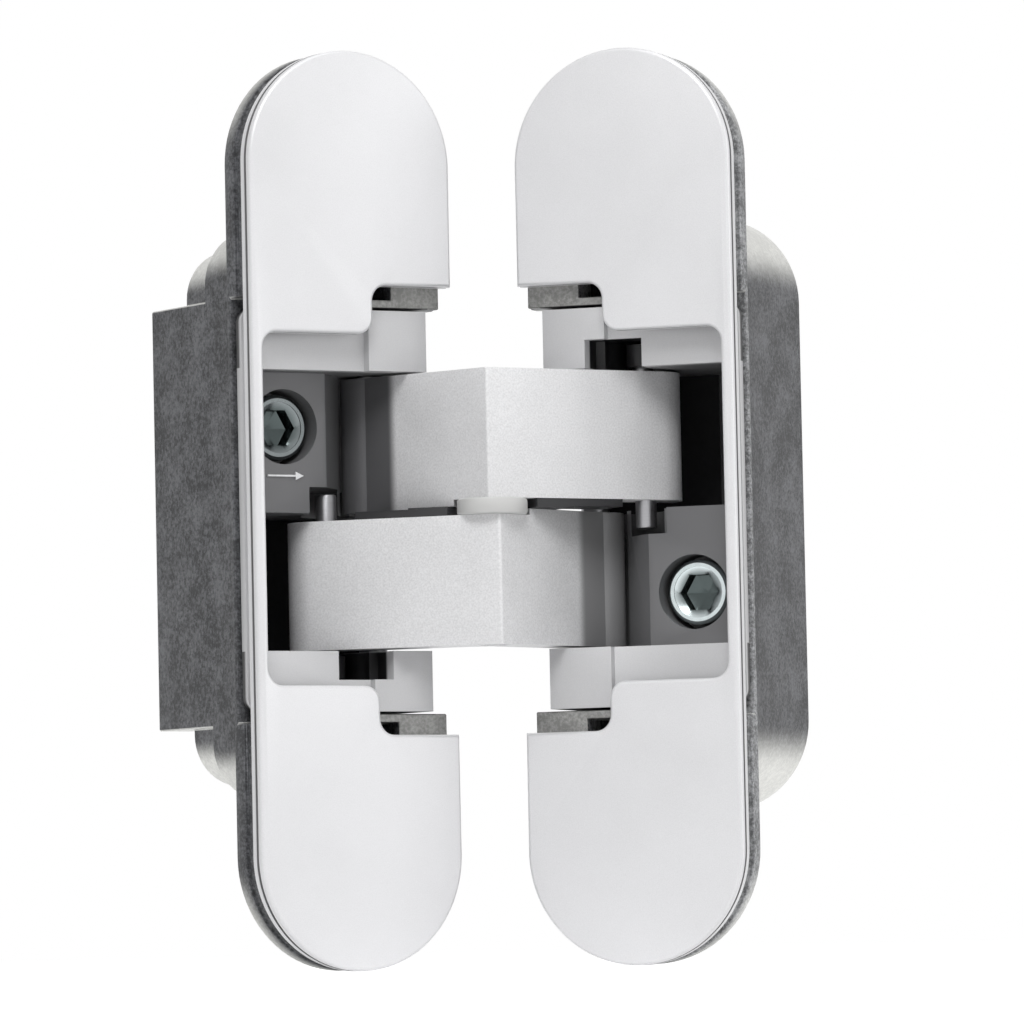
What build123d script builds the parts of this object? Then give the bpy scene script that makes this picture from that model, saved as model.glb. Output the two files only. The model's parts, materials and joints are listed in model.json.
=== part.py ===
"""A concealed two-arm door hinge, adjustable, standing open at its rest angle.

The frame half stands at the origin. Its front looks along -Y, its inner edge is on the +X side
and Z is up. The plane Y = 0 is the seat, the back of the flange. The door half is the frame half
turned half a turn about the line that halves the opening angle, so both halves share one design.
"""
from build123d import *
from math import asin, cos, degrees, radians, sin
import os

# Plate outline and thicknesses
plate_width = 28.0
plate_height = 112.0
cover_thickness = 2.2
flange_thickness = 4.3
flange_inset = 0.1
flange_step = 2.1
flange_step_inset = 0.6

# Openings of the cover
window_height = 42.8
lip_height = 6.0
strip_width = 1.5
notch_width = 11.1
cover_edge = 0.4
corner_margin = 1.0

# Pegs that hold the cover on the flange, one behind each lobe
peg_width = 3.0
peg_length = 3.0
peg_x = 7.0
peg_z = 43.0
peg_clearance = 0.02

# Fixing holes of the flange
fixing_radius = 2.4
fixing_head_radius = 4.6
fixing_near = 40.5
fixing_pitch = 9.0

# Cases
case_width = 26.0
case_depth = 21.5
case_wall = 1.2
case_back = 4.0
deep_length = 52.0
shoulder_length = 70.0
shoulder_depth = 7.2
shoulder_round = 7.0
shallow_inset = 0.8
shallow_length = 66.0
shallow_depth = 13.4
door_case_length = 74.0
door_case_round = 11.0
case_corner = 0.6
case_open_depth = 12.0
core_length = 3.4
core_depth = 11.5
core_outer_margin = 4.5
core_inner_margin = 6.3
core_wall = 1.0

# Carriers, which slide in the cases
carrier_length = 49.0
carrier_travel = 1.0
slide_gap = 0.3
cover_gap = 0.2
floor_gap = 1.0
rim_overhang = 2.2
rim_thickness = 1.2
rim_round = 1.8
rim_shelf = 0.8
rim_side_gap = 1.0
pocket_height = 17.1
pocket_gap = 0.5
pocket_drop = 4.6
pocket_wall = 1.4
pocket_wall_depth = 11.0
pocket_floor_rise = 6.0
rail_width = 1.6
post_side = 3.4
post_rise = 1.2

# Linkage, seen in plan
pivot_inset = 2.5
pivot_y = 5.8
pivot_reach = 20.5
slide_reach = 22.0
arm_kink = 73.5
pivot_share = 0.94
closed_gap = 5.2
full_opening_angle = 180.0
rest_opening_angle = 127.0

# Arms
arm_thickness = 5.6
arm_top = 16.8
arm_step = 0.8
arm_tail = 5.5
arm_end_front = 4.4
arm_end_back = 0.8
knuckle_radius = 3.5
elbow_radius = 3.0
corner_radius = 0.4
arm_lift = 0.2

# Pins, bushes and the washer between the arms
pivot_pin_radius = 1.75
pivot_pin_bite = 4.5
bush_wall = 0.85
bush_inset = 0.3
centre_pin_radius = 1.75
centre_pin_inset = 0.4
washer_radius = 4.3
washer_half = 0.97
washer_gap = 0.4
slide_pin_radius = 1.3
slide_pin_over = 2.4
sleeve_radius = 2.0
sleeve_length = 2.7
sleeve_inset = 0.4
slot_clearance = 0.3
slot_depth = 3.5
mid_slot_depth = 3.2
slot_mouth = 7.0
running_clearance = 0.04
press_clearance = 0.01

# Adjusting screws
screw_x = -5.4
screw_z = 10.5
screw_head_radius = 4.0
screw_head_length = 4.0
screw_head_sink = 1.4
screw_radius = 3.0
screw_bite = 2.8
screw_chamfer = 0.4
screw_bore_clearance = 0.05
socket_flats = 5.0
socket_depth = 2.6
counterbore_clearance = 0.6
clip_radius = 3.9
clip_thickness = 0.8
clip_groove = 0.4
clip_slit = 3.2
clip_recess_depth = 1.8
clip_recess_radius = 4.3

os.makedirs("parts", exist_ok=True)


def along(start, angle, distance):
    """The plan point at a distance from another, in a direction given in degrees."""
    return start + Vector(distance * cos(radians(angle)), distance * sin(radians(angle)))


def arm_angle(opening):
    """The direction from the frame pivot to the centre pin at an opening angle."""
    return closed_angle + pivot_share * opening / 2


def slide_point(opening):
    """Where the lower arm's sliding pin stands in the frame half at an opening angle."""
    centre_now = along(pivot, arm_angle(opening), pivot_reach)
    return along(centre_now, opening - arm_angle(opening) - arm_kink, slide_reach)


def facing(y):
    """A plane at a depth that looks out of the front of the frame half."""
    return Plane.XZ.offset(-y)


# Depths and sides that follow from the driving sizes
front = -(flange_thickness + cover_thickness)
half_width = plate_width / 2
notch_height = window_height + 2 * lip_height
cover_corner = lip_height / 3
cavity_side = case_width / 2 - case_wall
cavity_floor = case_depth - case_back
cavity_half = carrier_length / 2 + slide_gap
carrier_front = -flange_thickness + carrier_travel + cover_gap
carrier_back = cavity_floor - carrier_travel - floor_gap
carrier_side = cavity_side - slide_gap
rim_side = carrier_side + rim_overhang
slot_width = 2 * (sleeve_radius + slot_clearance)
pocket_floor = carrier_front + pocket_drop
rail_side = rail_width - rim_side

# Linkage points at rest
pivot = Vector(carrier_side - pivot_inset, pivot_y)
closed_angle = degrees(asin((pivot_y - front + closed_gap / 2) / pivot_reach)) - 180
rest_angle = arm_angle(rest_opening_angle)
centre = along(pivot, rest_angle, pivot_reach)
upper_slide = along(centre, rest_angle + arm_kink, slide_reach)
arm_end = along(upper_slide, rest_angle + arm_kink, arm_tail)
halving = along(Vector(0, 0), rest_opening_angle / 2, 1)
fold_axis = Axis((centre.X, centre.Y, 0), (halving.X, halving.Y, 0))

# Frame cover: a C-shaped plate with pegs on its back
with BuildPart() as frame_cover:
    with BuildSketch(facing(-flange_thickness)) as cover_outline:
        SlotOverall(plate_height, plate_width, rotation=90)
        with Locations((strip_width, 0)):
            Rectangle(plate_width, window_height, mode=Mode.SUBTRACT)
        with Locations((half_width, 0)):
            Rectangle(2 * notch_width, notch_height, mode=Mode.SUBTRACT)
        notch_corners = cover_outline.vertices().filter_by_position(
            Axis.Z, -notch_height / 2, notch_height / 2
        )
        inner_limit = half_width - corner_margin
        fillet(notch_corners.filter_by_position(Axis.X, -inner_limit, inner_limit), cover_corner)
    extrude(amount=cover_thickness)
    chamfer(frame_cover.faces().sort_by(Axis.Y)[0].edges(), cover_edge)
    with BuildSketch(facing(-flange_thickness)):
        with Locations((peg_x, peg_z), (-peg_x, -peg_z)):
            Rectangle(peg_width, peg_width)
    extrude(amount=-peg_length)

# Flange shared by both cases: two layers, the front one a little smaller, with countersunk fixing holes
with BuildPart() as case_flange:
    rear_layer = flange_thickness - flange_step
    for inset, layer in ((flange_inset, rear_layer), (flange_step_inset, flange_thickness)):
        with BuildSketch(facing(0)):
            SlotOverall(plate_height - 2 * inset, plate_width - 2 * inset, rotation=90)
        extrude(amount=layer)
    for height in (fixing_near, fixing_near + fixing_pitch):
        for end in (-1, 1):
            spot = Plane((0, -flange_thickness, end * height), x_dir=(1, 0, 0), z_dir=(0, -1, 0))
            with Locations(spot):
                CounterSinkHole(fixing_radius, fixing_head_radius, counter_sink_angle=90)

# What is hollow in both cases: the carrier's room, cores behind the cover, peg and screw holes
with BuildPart() as case_hollow:
    with BuildSketch(facing(-flange_thickness)):
        Rectangle(2 * cavity_side, 2 * cavity_half)
    extrude(amount=-(flange_thickness + cavity_floor))
    with BuildSketch(facing(-flange_thickness)):
        with Locations((cavity_side, 0)):
            Rectangle(plate_width, 2 * cavity_half, align=(Align.MIN, Align.CENTER))
    extrude(amount=-(flange_thickness + case_open_depth))
    with BuildSketch(facing(-flange_thickness)):
        with Locations((-cavity_side, 0)):
            Rectangle(plate_width, 2 * (cavity_half + rim_side_gap), align=(Align.MAX, Align.CENTER))
    extrude(amount=rim_shelf - flange_thickness)
    with BuildSketch(facing(-flange_thickness)):
        core_width = case_width - core_outer_margin - core_inner_margin
        with Locations((core_outer_margin - case_width / 2, cavity_half + core_wall)):
            Rectangle(core_width, core_length, align=(Align.MIN, Align.MIN))
        with Locations((core_outer_margin - case_width / 2, -cavity_half - core_wall)):
            Rectangle(core_width, core_length, align=(Align.MIN, Align.MAX))
    extrude(amount=-core_depth)
    with BuildSketch(facing(-flange_thickness)):
        with Locations((peg_x, peg_z), (-peg_x, -peg_z)):
            Rectangle(peg_width + 2 * peg_clearance, peg_width + 2 * peg_clearance)
    extrude(amount=-(peg_length + peg_clearance))
    with BuildSketch(facing(cavity_floor)):
        with Locations((screw_x, screw_z)):
            Circle(screw_radius + screw_bore_clearance)
    extrude(amount=-case_back)

# Frame case: a casting that steps back twice and is deepest behind the carrier
with BuildPart() as frame_case:
    add(case_flange.part)
    with BuildSketch(facing(0)):
        RectangleRounded(case_width, shoulder_length, shoulder_round)
    extrude(amount=-shoulder_depth)
    with BuildSketch(facing(0)):
        shallow_round = shoulder_round - shallow_inset
        RectangleRounded(case_width - 2 * shallow_inset, shallow_length, shallow_round)
    extrude(amount=-shallow_depth)
    with BuildSketch(facing(0)):
        Rectangle(case_width, deep_length)
    extrude(amount=-case_depth)
    chamfer(frame_case.faces().sort_by(Axis.Y)[-1].edges(), case_corner)
    add(case_hollow.part, mode=Mode.SUBTRACT)

# Door case, still in the frame half's place: one depth throughout, with round ends
with BuildPart() as door_case_plain:
    add(case_flange.part)
    with BuildSketch(facing(0)):
        RectangleRounded(case_width, door_case_length, door_case_round)
    extrude(amount=-case_depth)
    chamfer(door_case_plain.faces().sort_by(Axis.Y)[-1].edges(), case_corner)
    add(case_hollow.part, mode=Mode.SUBTRACT)

# Frame carrier: a block with a pocket for each arm and a slot for the sliding pin
with BuildPart() as frame_carrier:
    with BuildSketch(Plane.XY.offset(-carrier_length / 2)):
        with BuildLine():
            Polyline(
                (-rim_side, carrier_front),
                (carrier_side, carrier_front),
                (carrier_side, carrier_back),
                (-carrier_side, carrier_back),
                (-carrier_side, carrier_front + rim_thickness),
                (-rim_side, carrier_front + rim_thickness),
                close=True,
            )
        make_face()
    extrude(amount=carrier_length)
    fillet(frame_carrier.edges().filter_by(Axis.Y).sort_by(Axis.X)[:2], rim_round)
    # Raised posts on the end walls, which stand in the cover's notches
    post_width = carrier_side - post_side
    post_height = carrier_length / 2 - pocket_height
    with BuildSketch(facing(carrier_front)):
        with Locations((post_side + post_width / 2, 0)):
            with GridLocations(post_width, 2 * pocket_height + post_height, 1, 2):
                Rectangle(post_width, post_height)
    extrude(amount=post_rise)
    # Pocket at the pivot: a flat floor for the screw, then a slope that follows the closed arm
    slope_line = along(pivot, closed_angle - 90, arm_thickness / 2 + pocket_gap)
    slope_rise = sin(radians(closed_angle))
    knuckle_floor = pivot_y + knuckle_radius + pocket_gap
    slope_top = along(slope_line, closed_angle, (pocket_floor - slope_line.Y) / slope_rise)
    slope_foot = along(slope_line, closed_angle, (knuckle_floor - slope_line.Y) / slope_rise)
    with BuildSketch(Plane.XY):
        with BuildLine():
            Polyline(
                (rail_side, front),
                (rail_side, pocket_floor),
                slope_top,
                slope_foot,
                (plate_width, knuckle_floor),
                (plate_width, front),
                close=True,
            )
        make_face()
        with Locations(pivot):
            Circle(knuckle_radius + pocket_gap)
    extrude(amount=pocket_height, mode=Mode.SUBTRACT)
    # Pocket for the sliding end of the other arm, open at the back
    pocket_side = pocket_wall - carrier_side
    with BuildSketch(Plane.XY):
        with BuildLine():
            Polyline(
                (rail_side, front),
                (rail_side, pocket_floor),
                (pocket_side, pocket_floor),
                (pocket_side, pocket_wall_depth),
                (pocket_side + pocket_floor_rise, carrier_back),
                (pocket_side + pocket_floor_rise, case_depth),
                (plate_width, case_depth),
                (plate_width, front),
                close=True,
            )
        make_face()
    extrude(amount=-pocket_height, mode=Mode.SUBTRACT)
    # Slots along the sliding pin's path, one at each end of the pin
    with BuildLine(mode=Mode.PRIVATE) as slide_path:
        ThreePointArc(slide_point(0), slide_point(full_opening_angle / 2), slide_point(full_opening_angle))
    with BuildSketch(Plane.XY):
        SlotArc(slide_path.edge(), slot_width)
        with Locations(slide_point(rest_opening_angle)):
            Rectangle(slot_mouth, plate_width, align=(Align.CENTER, Align.MAX))
    extrude(amount=mid_slot_depth, mode=Mode.SUBTRACT)
    with BuildSketch(Plane.XY.offset(-pocket_height)):
        SlotArc(slide_path.edge(), slot_width)
        with Locations(slide_point(full_opening_angle)):
            Rectangle(slot_mouth, plate_width, align=(Align.CENTER, Align.MAX))
    extrude(amount=-slot_depth, mode=Mode.SUBTRACT)
    # Holes for the pivot pin and the adjusting screw
    with BuildSketch(Plane.XY.offset(-pocket_height - pivot_pin_bite)):
        with Locations(pivot):
            Circle(pivot_pin_radius + press_clearance)
    extrude(amount=2 * (pocket_height + pivot_pin_bite), mode=Mode.SUBTRACT)
    with Locations(Plane((screw_x, pocket_floor, screw_z), x_dir=(1, 0, 0), z_dir=(0, -1, 0))):
        CounterBoreHole(
            screw_radius + screw_bore_clearance,
            screw_head_radius + counterbore_clearance,
            screw_head_sink + screw_head_length,
        )
    with Locations(Plane((screw_x, carrier_back, screw_z), x_dir=(1, 0, 0), z_dir=(0, 1, 0))):
        Hole(clip_recess_radius, depth=clip_recess_depth)

# Frame pivot pin, held in both end walls of the carrier
with BuildPart() as frame_pivot_pin:
    with BuildSketch(Plane.XY.offset(-pocket_height - pivot_pin_bite)):
        with Locations(pivot):
            Circle(pivot_pin_radius)
    extrude(amount=2 * (pocket_height + pivot_pin_bite))

# Frame adjusting screw: a socket head, a groove for its clip and a threaded end
with BuildPart() as frame_adjust_screw:
    head_front = pocket_floor + screw_head_sink
    head_back = head_front + screw_head_length
    groove_front = carrier_back - clip_recess_depth
    groove_back = groove_front + clip_thickness + clip_groove
    screw_tip = cavity_floor + screw_bite
    with BuildSketch(Plane.XY.offset(screw_z)):
        with BuildLine():
            Polyline(
                (screw_x, head_front),
                (screw_x + screw_head_radius, head_front),
                (screw_x + screw_head_radius, head_back),
                (screw_x + screw_radius, head_back),
                (screw_x + screw_radius, groove_front),
                (screw_x + screw_radius - clip_groove, groove_front),
                (screw_x + screw_radius - clip_groove, groove_back),
                (screw_x + screw_radius, groove_back),
                (screw_x + screw_radius, screw_tip),
                (screw_x, screw_tip),
                close=True,
            )
        make_face()
    revolve(axis=Axis((screw_x, 0, screw_z), (0, 1, 0)))
    with BuildSketch(facing(head_front)):
        with Locations((screw_x, screw_z)):
            RegularPolygon(socket_flats / 2, 6, major_radius=False)
    extrude(amount=-socket_depth, mode=Mode.SUBTRACT)
    chamfer(frame_adjust_screw.edges().filter_by(GeomType.CIRCLE).sort_by(Axis.Y)[0], screw_chamfer)

# Frame screw clip: an open ring in the groove, behind the carrier
with BuildPart() as frame_screw_clip:
    with BuildSketch(facing(groove_front + press_clearance)):
        with Locations((screw_x, screw_z)):
            Circle(clip_radius)
            Circle(screw_radius - clip_groove + press_clearance, mode=Mode.SUBTRACT)
            Rectangle(clip_slit, 2 * clip_radius, align=(Align.CENTER, Align.MAX), mode=Mode.SUBTRACT)
    extrude(amount=-clip_thickness)

# Upper arm: a bent bar with a knuckle at the frame pivot
with BuildPart() as upper_arm:
    bar_half = arm_thickness / 2
    slide_angle = rest_angle + arm_kink
    bend_angle = rest_angle + arm_kink / 2
    bend_reach = bar_half / cos(radians(arm_kink / 2))
    outer_bend = along(centre, bend_angle - 90, bend_reach)
    inner_bend = along(centre, bend_angle + 90, bend_reach)
    arm_low = arm_step + arm_lift
    with BuildSketch(Plane.XY.offset(arm_low)) as arm_outline:
        with BuildLine():
            Polyline(
                along(pivot, rest_angle - 90, bar_half),
                outer_bend,
                along(arm_end, slide_angle - 90, bar_half),
                along(arm_end, slide_angle + 90, bar_half),
                inner_bend,
                along(pivot, rest_angle + 90, bar_half),
                close=True,
            )
        make_face()
        lift = Vector(0, 0, arm_low)
        for side, radius in ((-90, arm_end_front), (90, arm_end_back)):
            corner = along(arm_end, slide_angle + side, bar_half) + lift
            fillet(arm_outline.vertices().sort_by_distance(corner)[0], radius)
        fillet(arm_outline.vertices().sort_by_distance(inner_bend + lift)[0], elbow_radius)
        fillet(arm_outline.vertices().sort_by_distance(outer_bend + lift)[0], corner_radius)
        with Locations(pivot):
            Circle(knuckle_radius)
    extrude(amount=arm_top - arm_low)
    # The pivot side reaches a step lower, clear of the washer
    with BuildSketch(Plane.XY.offset(arm_low)):
        with BuildLine():
            Polyline(
                along(pivot, rest_angle - 90, bar_half),
                outer_bend,
                inner_bend,
                along(pivot, rest_angle + 90, bar_half),
                close=True,
            )
        make_face()
        with Locations(pivot):
            Circle(knuckle_radius)
        with Locations(centre):
            Circle(washer_radius + washer_gap, mode=Mode.SUBTRACT)
    extrude(amount=-arm_step)
    with BuildSketch(Plane.XY):
        with Locations(pivot):
            Circle(pivot_pin_radius + running_clearance + bush_wall + press_clearance)
        with Locations(centre):
            Circle(centre_pin_radius + running_clearance)
        with Locations(upper_slide):
            Circle(slide_pin_radius + press_clearance)
    extrude(amount=arm_top, mode=Mode.SUBTRACT)

# Upper arm bush: a sleeve in the knuckle
with BuildPart() as upper_arm_bush:
    bush_low = arm_low - arm_step + bush_inset
    with BuildSketch(Plane.XY.offset(bush_low)):
        with Locations(pivot):
            Circle(pivot_pin_radius + running_clearance + bush_wall)
            Circle(pivot_pin_radius + running_clearance, mode=Mode.SUBTRACT)
    extrude(amount=arm_top - bush_inset - bush_low)

# Centre pin through both arms
with BuildPart() as centre_pin:
    with BuildSketch(Plane.XY.offset(centre_pin_inset - arm_top)):
        with Locations(centre):
            Circle(centre_pin_radius)
    extrude(amount=2 * (arm_top - centre_pin_inset))

# Centre washer between the arms
with BuildPart() as centre_washer:
    with BuildSketch(Plane.XY.offset(-washer_half)):
        with Locations(centre):
            Circle(washer_radius)
            Circle(centre_pin_radius + running_clearance, mode=Mode.SUBTRACT)
    extrude(amount=2 * washer_half)

# Upper sliding pin, in the far end of the upper arm
slide_pin_top = pocket_height + slot_depth - sleeve_inset
with BuildPart() as upper_slide_pin:
    with BuildSketch(Plane.XY.offset(-slide_pin_over)):
        with Locations(upper_slide):
            Circle(slide_pin_radius)
    extrude(amount=slide_pin_over + slide_pin_top)

# Upper slide sleeve on the pin's outer end, which runs in the slot of the end wall
with BuildPart() as upper_slide_sleeve:
    with BuildSketch(Plane.XY.offset(slide_pin_top - sleeve_length)):
        with Locations(upper_slide):
            Circle(sleeve_radius)
            Circle(slide_pin_radius + press_clearance, mode=Mode.SUBTRACT)
    extrude(amount=sleeve_length)

# Pieces of the door half and of the lower arm, turned half a turn about the fold line
with BuildPart() as door_case:
    add(door_case_plain.part.rotate(fold_axis, 180))
with BuildPart() as door_cover:
    add(frame_cover.part.rotate(fold_axis, 180))
with BuildPart() as door_carrier:
    add(frame_carrier.part.rotate(fold_axis, 180))
with BuildPart() as door_pivot_pin:
    add(frame_pivot_pin.part.rotate(fold_axis, 180))
with BuildPart() as door_adjust_screw:
    add(frame_adjust_screw.part.rotate(fold_axis, 180))
with BuildPart() as door_screw_clip:
    add(frame_screw_clip.part.rotate(fold_axis, 180))
with BuildPart() as lower_arm:
    add(upper_arm.part.rotate(fold_axis, 180))
with BuildPart() as lower_arm_bush:
    add(upper_arm_bush.part.rotate(fold_axis, 180))
with BuildPart() as lower_slide_pin:
    add(upper_slide_pin.part.rotate(fold_axis, 180))
with BuildPart() as lower_slide_sleeve:
    add(upper_slide_sleeve.part.rotate(fold_axis, 180))

pieces = {
    "frame_case": frame_case,
    "frame_cover": frame_cover,
    "frame_carrier": frame_carrier,
    "frame_pivot_pin": frame_pivot_pin,
    "frame_adjust_screw": frame_adjust_screw,
    "frame_screw_clip": frame_screw_clip,
    "upper_arm": upper_arm,
    "upper_arm_bush": upper_arm_bush,
    "upper_slide_pin": upper_slide_pin,
    "upper_slide_sleeve": upper_slide_sleeve,
    "centre_pin": centre_pin,
    "centre_washer": centre_washer,
    "lower_arm": lower_arm,
    "lower_arm_bush": lower_arm_bush,
    "lower_slide_pin": lower_slide_pin,
    "lower_slide_sleeve": lower_slide_sleeve,
    "door_case": door_case,
    "door_cover": door_cover,
    "door_carrier": door_carrier,
    "door_pivot_pin": door_pivot_pin,
    "door_adjust_screw": door_adjust_screw,
    "door_screw_clip": door_screw_clip,
}
for label, piece in pieces.items():
    piece.part.label = label
    export_step(piece.part, f"parts/{label}.step")
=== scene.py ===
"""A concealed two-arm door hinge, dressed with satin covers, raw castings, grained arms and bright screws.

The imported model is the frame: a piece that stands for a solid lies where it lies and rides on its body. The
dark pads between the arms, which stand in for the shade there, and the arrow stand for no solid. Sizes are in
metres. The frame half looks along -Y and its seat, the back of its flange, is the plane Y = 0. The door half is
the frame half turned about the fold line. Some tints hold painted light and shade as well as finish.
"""

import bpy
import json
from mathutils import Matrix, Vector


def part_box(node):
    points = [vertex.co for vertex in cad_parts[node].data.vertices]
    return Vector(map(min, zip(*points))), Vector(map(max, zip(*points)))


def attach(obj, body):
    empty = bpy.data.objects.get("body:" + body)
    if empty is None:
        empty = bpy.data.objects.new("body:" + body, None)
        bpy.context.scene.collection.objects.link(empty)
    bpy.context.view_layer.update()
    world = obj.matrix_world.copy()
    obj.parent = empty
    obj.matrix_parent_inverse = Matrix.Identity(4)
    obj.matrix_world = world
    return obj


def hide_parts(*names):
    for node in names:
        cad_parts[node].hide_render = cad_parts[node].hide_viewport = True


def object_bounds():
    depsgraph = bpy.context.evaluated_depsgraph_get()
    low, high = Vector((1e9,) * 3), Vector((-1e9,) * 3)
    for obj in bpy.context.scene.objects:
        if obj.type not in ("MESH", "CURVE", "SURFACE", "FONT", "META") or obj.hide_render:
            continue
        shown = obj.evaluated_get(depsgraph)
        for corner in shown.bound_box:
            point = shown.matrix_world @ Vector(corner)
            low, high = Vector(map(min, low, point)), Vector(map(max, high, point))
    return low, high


bl_info = {
    "name": "Concealed Door Hinge",
    "version": (1, 0, 0),
    "blender": (4, 5, 0),
    "location": "View3D > Sidebar > Hinge",
    "description": "Dresses the halves, the arms and the screws of a concealed door hinge and sets its stage",
    "category": "Object",
}

import json
from math import cos, pi, radians, sin

import bmesh
import bpy
from bmesh.types import BMFace, BMVert
from bpy.props import FloatProperty, FloatVectorProperty, IntProperty, PointerProperty
from bpy.types import Operator, Panel, PropertyGroup
from mathutils import Matrix, Vector

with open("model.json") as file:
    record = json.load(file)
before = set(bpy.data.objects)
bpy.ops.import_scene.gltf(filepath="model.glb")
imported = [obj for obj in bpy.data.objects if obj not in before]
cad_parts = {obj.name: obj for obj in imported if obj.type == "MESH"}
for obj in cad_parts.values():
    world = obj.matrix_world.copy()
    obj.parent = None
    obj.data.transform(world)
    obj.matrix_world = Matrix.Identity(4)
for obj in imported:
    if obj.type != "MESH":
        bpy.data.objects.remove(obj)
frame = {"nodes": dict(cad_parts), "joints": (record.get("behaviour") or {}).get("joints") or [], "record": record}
cad_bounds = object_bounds()

MM = 0.001

# How near points of a new piece, and of a solid's triangles, lie to be joined, and how near a place is met
MERGE = 0.004 * MM
WELD = 0.002 * MM
TOUCH = 0.001 * MM

# The turn below which triangles are one flat face, and above which an edge is rounded or shaded as sharp
FLAT_TURN = radians(0.6)
ROUNDED_TURN = radians(28)
SHARP_TURN = radians(32)

# How alike two directions have to be to belong to one surface, and to count as across the plate
ALIKE = cos(radians(14))
ACROSS = 0.9

# Facets round a screw, and sides of its socket
SCREW_STEPS = 48
SOCKET_SIDES = 6

# The attribute that says how far a surface looks up or down, and the width over which one finish ends
UPRIGHT = "upright"
EASE = 0.15 * MM

# Where the two halves stand to each other
joints = {joint["name"]: joint for joint in frame["joints"]}
arm_centre = Vector(joints["centre_pivot"]["pos_m"])
frame_depth = Vector(joints["frame_adjust"]["axis"])
door_depth = -Vector(joints["door_adjust"]["axis"])
fold_line = (frame_depth + door_depth).normalized()
screw_spot = Vector(joints["frame_screw_turn"]["pos_m"])
HALF_TURN = (
    Matrix.Translation(arm_centre) @ Matrix.Rotation(pi, 4, fold_line) @ Matrix.Translation(-arm_centre)
)
HALVES = {"frame": Matrix.Identity(4), "door": HALF_TURN}

# Which body carries each node
node_body = {node: body for body, nodes in frame["record"]["behaviour"]["bodies"].items() for node in nodes}

cover_low, cover_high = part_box("frame_cover")


def length(name, default, description):
    """A property for a size in metres."""
    return FloatProperty(name=name, description=description, default=default, unit="LENGTH", precision=5)


def colour(name, default, description):
    """A property for a colour."""
    return FloatVectorProperty(
        name=name, description=description, default=default, subtype="COLOR", size=3, min=0.0, max=1.0
    )


def share(name, default, description):
    """A property for a number from 0 to 1."""
    return FloatProperty(
        name=name, description=description, default=default, subtype="FACTOR", min=0.0, max=1.0
    )


def count(name, default, description):
    """A property for a whole number."""
    return IntProperty(name=name, description=description, default=default)


def angle(name, default, description):
    """A property for an angle, whose default is given in degrees."""
    return FloatProperty(name=name, description=description, default=radians(default), subtype="ANGLE")


class HingeCoverSettings(PropertyGroup):
    """Sizes and finish of the two cover plates."""

    thickness: length("Thickness", 2.2 * MM, "Thickness of the plate")
    window_half: length("Window half height", 21.4 * MM, "Half height of the window for the arms")
    strip: length("Strip", 1.5 * MM, "Width of the strip along the outer edge")
    notch_half: length("Notch half height", 27.4 * MM, "Half height of the notch on the inner edge")
    notch_width: length("Notch width", 11.1 * MM, "Width of the notch")
    corner: length("Window corner", 2.0 * MM, "Radius of the window's corners")
    corner_steps: count("Corner steps", 8, "Facets of each window corner")
    end_steps: count("End steps", 40, "Facets of each quarter of the round ends")
    edge: length("Edge", 0.45 * MM, "Radius of the plate's front edge")
    edge_steps: count("Edge steps", 3, "Facets of the front edge")
    groove_width: length("Groove width", 0.4 * MM, "Width of the groove round the plate's edge")
    groove_depth: length("Groove depth", 0.45 * MM, "Depth of the groove")
    groove_tint: colour("Groove", (0.28, 0.28, 0.285), "Shaded metal in the groove")
    tint: colour("Tint", (0.83, 0.83, 0.845), "Silver lacquer")
    roughness: share("Roughness", 0.40, "Roughness of the lacquer")


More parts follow.
